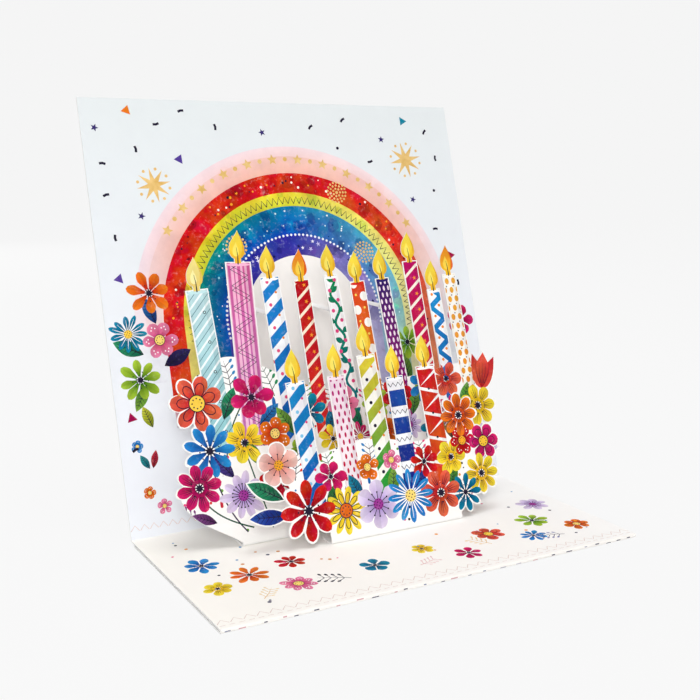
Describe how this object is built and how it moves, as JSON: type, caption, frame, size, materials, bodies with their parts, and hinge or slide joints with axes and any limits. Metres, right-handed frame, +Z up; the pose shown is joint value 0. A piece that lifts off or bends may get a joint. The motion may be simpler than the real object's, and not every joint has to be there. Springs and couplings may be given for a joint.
{
  "type": "pop up card",
  "caption": "Open pop-up greeting card: a folded square cover with die-cut layers of candles and flowers standing on feet and paper links.",
  "frame": {"origin": "middle of the face that the card rests on, under the base", "axes": "+X to the viewer's right along the folds, +Y to the back towards the leaning back panel, +Z up"},
  "size_m": [0.1334, 0.1061, 0.1287],
  "materials": {
    "cover_board": "printed card, matte",
    "rear_sheet": "printed card, matte",
    "front_sheet": "printed card, matte",
    "link_strip": "plain white card, matte"
  },
  "bodies": {
    "root": {"card_cover": "cover_board", "rear_candle_layer": "rear_sheet", "front_candle_layer": "front_sheet", "rear_link_left": "link_strip", "rear_link_middle": "link_strip", "rear_link_right": "link_strip", "front_link_left": "link_strip", "front_link_right": "link_strip"}
  },
  "joints": []
}
